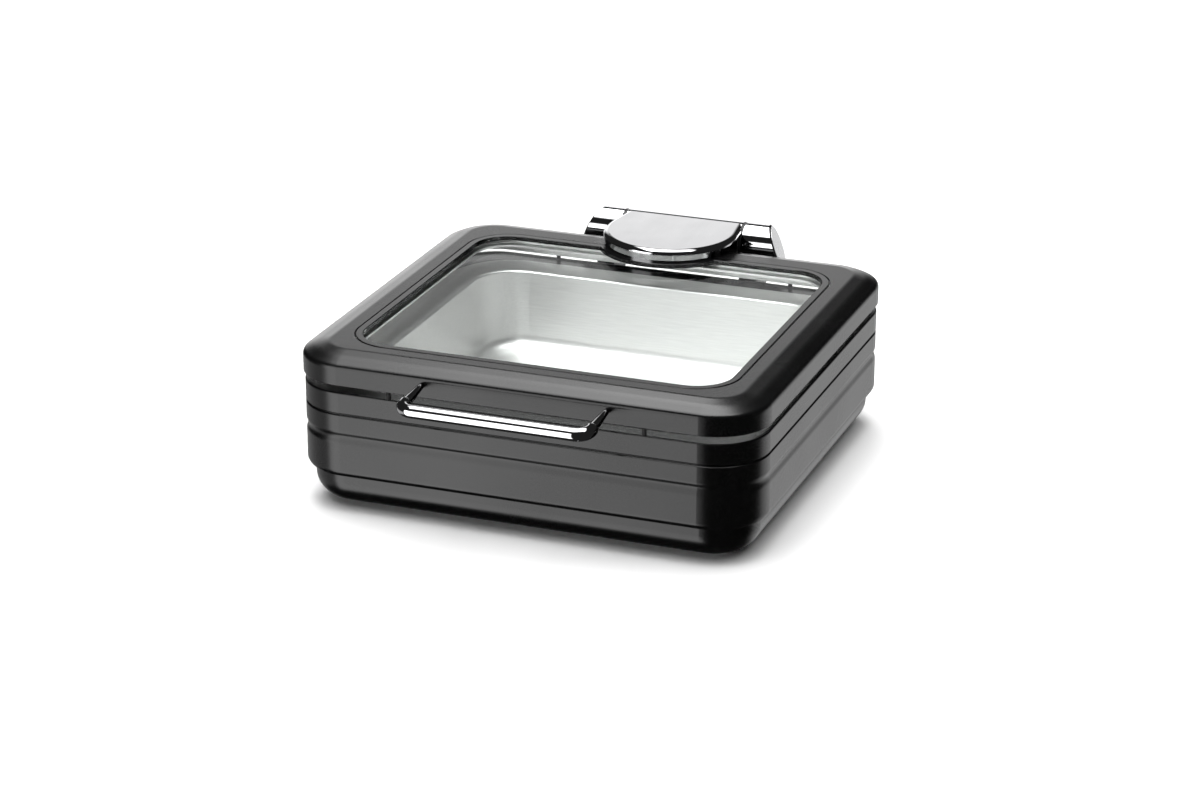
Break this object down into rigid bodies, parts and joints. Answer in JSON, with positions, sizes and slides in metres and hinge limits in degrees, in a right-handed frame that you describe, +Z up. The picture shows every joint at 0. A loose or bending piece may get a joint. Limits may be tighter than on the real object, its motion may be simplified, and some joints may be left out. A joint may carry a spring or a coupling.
{
  "type": "electric buffet server",
  "caption": "Square black countertop buffet server with a hinged glass-window lid, polished bar handle and barrel hinge, holding a stainless food pan over an electrically heated water pan.",
  "frame": {"origin": "on the table, under the middle of the housing", "axes": "+X to the right, -Y towards the handle, +Z up"},
  "size_m": [0.421, 0.508, 0.155],
  "materials": {
    "black_paint": "satin",
    "black_trim": "satin",
    "chrome": "polished",
    "satin_chrome": "satin",
    "stainless": "brushed",
    "zinc_steel": "plated",
    "glass": "polished",
    "rubber": "matte",
    "aluminium": "mill",
    "insulation": "matte",
    "black_plastic": "fine grain",
    "white_plastic": "moulded",
    "lamp_green": "translucent",
    "brass": "turned",
    "wire_silicone": "matte"
  },
  "bodies": {
    "base": {"body_shell": "black_paint", "base_shell": "black_paint", "feet": "rubber", "feet_screws": "zinc_steel", "feet_nuts": "zinc_steel", "corner_posts": "zinc_steel", "post_screws": "zinc_steel", "lid_bumpers": "rubber", "water_pan": "stainless", "food_pan": "stainless", "heater_plate": "aluminium", "heating_element": "stainless", "element_clamps": "zinc_steel", "insulation_mat": "insulation", "heat_shield": "stainless", "thermostat_bulb": "brass", "thermal_cutout": "zinc_steel", "terminal_block": "white_plastic", "wiring": "wire_silicone", "control_plate": "satin_chrome", "inlet_plate": "satin_chrome", "plate_screws": "zinc_steel", "power_inlet": "black_plastic", "inlet_pins": "brass", "switch_housing": "black_plastic", "lamp_bezel": "chrome", "lamp_lens": "lamp_green", "thermostat_body": "white_plastic", "thermostat_nut": "zinc_steel", "hinge_bracket": "black_paint", "bracket_screws": "zinc_steel", "bracket_nuts": "zinc_steel", "hinge_pin": "zinc_steel", "hinge_damper": "aluminium", "torsion_springs": "zinc_steel", "hinge_washers": "black_plastic", "hinge_sleeve_left": "chrome", "hinge_sleeve_right": "chrome", "hinge_end_left": "chrome", "hinge_end_right": "chrome", "cap_disc_left": "satin_chrome", "cap_disc_right": "satin_chrome"},
    "lid": {"lid_frame": "black_paint", "window_bezel": "black_trim", "glass_seal": "rubber", "lid_glass": "glass", "glass_retainer": "stainless", "lid_liner": "stainless", "retainer_screws": "zinc_steel", "lid_handle": "chrome", "handle_washers": "zinc_steel", "handle_screws": "zinc_steel", "hinge_cover": "chrome", "cover_screws": "zinc_steel", "hinge_knuckle": "chrome", "hinge_screws": "zinc_steel", "hinge_bushes": "brass"},
    "switch": {"switch_rocker": "black_plastic"},
    "knob": {"thermostat_knob": "black_plastic", "thermostat_shaft": "zinc_steel"}
  },
  "joints": [
    {"name": "lid_hinge", "type": "hinge", "parent": "base", "child": "lid", "pos_m": [0, 0.234, 0.135], "axis": [-1, 0, 0], "range_deg": [0, 90]},
    {"name": "switch_tilt", "type": "hinge", "parent": "base", "child": "switch", "pos_m": [0.127, 0.19975, 0.089], "axis": [0, 0, 1], "range_deg": [0, 14]},
    {"name": "thermostat_turn", "type": "hinge", "parent": "base", "child": "knob", "pos_m": [-0.127, 0.21, 0.064], "axis": [0, -1, 0], "range_deg": [0, 270]}
  ]
}
